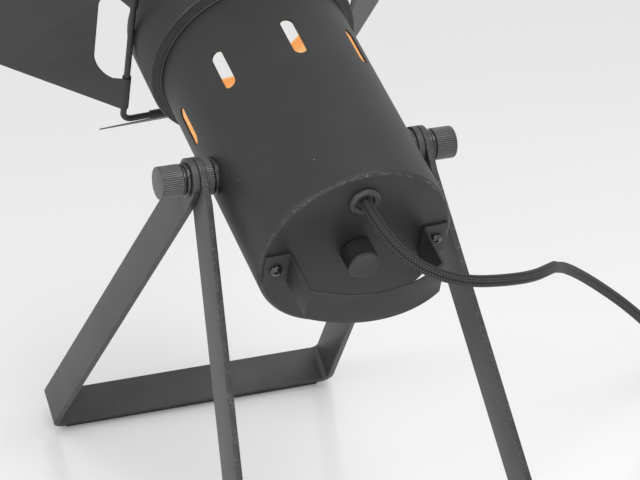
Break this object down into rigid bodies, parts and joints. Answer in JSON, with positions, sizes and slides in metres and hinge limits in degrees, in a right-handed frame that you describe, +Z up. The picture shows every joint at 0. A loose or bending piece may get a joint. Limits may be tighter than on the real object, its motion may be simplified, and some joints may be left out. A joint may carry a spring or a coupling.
{
  "type": "tabletop searchlight lamp",
  "caption": "Tabletop searchlight lamp: a tilting vented drum head with hinged barn doors, held between two splayed strip frames, with a rear handle, a rotary switch and a braided cord.",
  "frame": {"origin": "on the table, under the middle of the lamp's width and depth without its cord; the pivot line is 19.8 mm behind it", "axes": "+Z up, light thrown towards -Y, X along the pivot line"},
  "size_m": [0.6183, 0.4153, 0.4561],
  "materials": {
    "charcoal_powder_coat": "fine matt powder coat, charcoal; copper-gold paint inside the head",
    "black_lacquered_metal": "glossy black lacquer",
    "zinc_plated_steel": "bright zinc plating",
    "braided_cord": "black textile braid with paler flecks",
    "anti_slip_rubber": "matt",
    "bulb_glass": "clear, with a warm filament inside",
    "bulb_cap_aluminium": "bright",
    "lampholder_brass": "bright",
    "lampholder_phenolic": "satin moulded phenolic",
    "plug_pin_brass": "nickel over brass",
    "black_plastic": "satin"
  },
  "bodies": {
    "head": {"barn_door_frame": "charcoal_powder_coat", "bulb_cap": "bulb_cap_aluminium", "bulb_glass": "bulb_glass", "bushing_nut": "zinc_plated_steel", "cord": "braided_cord", "cord_bushing": "black_plastic", "cord_coil": "braided_cord", "cord_tail": "braided_cord", "cord_tie": "black_plastic", "front_collar": "charcoal_powder_coat", "handle_strip": "charcoal_powder_coat", "holder_nipple": "zinc_plated_steel", "holder_shell": "lampholder_brass", "lampholder": "lampholder_phenolic", "lampholder_bracket": "zinc_plated_steel", "left_friction_washer": "black_plastic", "left_handle_nut": "zinc_plated_steel", "left_handle_screw": "black_lacquered_metal", "left_pivot_spacer": "charcoal_powder_coat", "left_pivot_stud": "zinc_plated_steel", "left_pivot_washer": "black_lacquered_metal", "plug_body": "black_plastic", "plug_pins": "plug_pin_brass", "rear_housing": "charcoal_powder_coat", "right_friction_washer": "black_plastic", "right_handle_nut": "zinc_plated_steel", "right_handle_screw": "black_lacquered_metal", "right_pivot_spacer": "charcoal_powder_coat", "right_pivot_stud": "zinc_plated_steel", "right_pivot_washer": "black_lacquered_metal", "switch_body": "black_plastic"},
    "front_frame": {"front_frame": "charcoal_powder_coat", "front_frame_pad": "anti_slip_rubber"},
    "rear_frame": {"rear_frame": "charcoal_powder_coat", "rear_frame_pad": "anti_slip_rubber"},
    "left_thumb_knob": {"left_thumb_knob": "black_lacquered_metal"},
    "right_thumb_knob": {"right_thumb_knob": "black_lacquered_metal"},
    "switch_knob": {"switch_knob": "black_plastic"},
    "left_leaf": {"left_leaf": "charcoal_powder_coat"},
    "right_leaf": {"right_leaf": "charcoal_powder_coat"},
    "top_leaf": {"top_leaf": "charcoal_powder_coat"},
    "bottom_leaf": {"bottom_leaf": "charcoal_powder_coat"}
  },
  "joints": [
    {"name": "front_frame_pivot", "type": "hinge", "parent": "head", "child": "front_frame", "pos_m": [0, 0.0198, 0.253], "axis": [1, 0, 0], "range_deg": [-38, 31]},
    {"name": "rear_frame_pivot", "type": "hinge", "parent": "head", "child": "rear_frame", "pos_m": [0, 0.0198, 0.253], "axis": [-1, 0, 0], "range_deg": [-20, 31]},
    {"name": "left_knob_turn", "type": "hinge", "parent": "head", "child": "left_thumb_knob", "pos_m": [0.087, 0.0198, 0.253], "axis": [1, 0, 0], "continuous": true},
    {"name": "right_knob_turn", "type": "hinge", "parent": "head", "child": "right_thumb_knob", "pos_m": [-0.087, 0.0198, 0.253], "axis": [-1, 0, 0], "continuous": true},
    {"name": "switch_turn", "type": "hinge", "parent": "head", "child": "switch_knob", "pos_m": [0, 0.1, 0.22779], "axis": [0, 0.9415, -0.3371], "range_deg": [0, 90]},
    {"name": "left_leaf_hinge", "type": "hinge", "parent": "head", "child": "left_leaf", "pos_m": [0.06874, -0.09896, 0.29482], "axis": [-0.0576, -0.3365, -0.9399], "range_deg": [-52, 70]},
    {"name": "right_leaf_hinge", "type": "hinge", "parent": "head", "child": "right_leaf", "pos_m": [-0.06874, -0.09628, 0.30228], "axis": [0.0576, 0.3365, 0.9399], "range_deg": [-52, 70]},
    {"name": "top_leaf_hinge", "type": "hinge", "parent": "head", "child": "top_leaf", "pos_m": [0.00396, -0.07445, 0.36326], "axis": [-0.9983, 0.0194, 0.0542], "range_deg": [-78, 42]},
    {"name": "bottom_leaf_hinge", "type": "hinge", "parent": "head", "child": "bottom_leaf", "pos_m": [-0.00396, -0.12079, 0.23383], "axis": [0.9983, -0.0194, -0.0542], "range_deg": [-78, 42]}
  ]
}
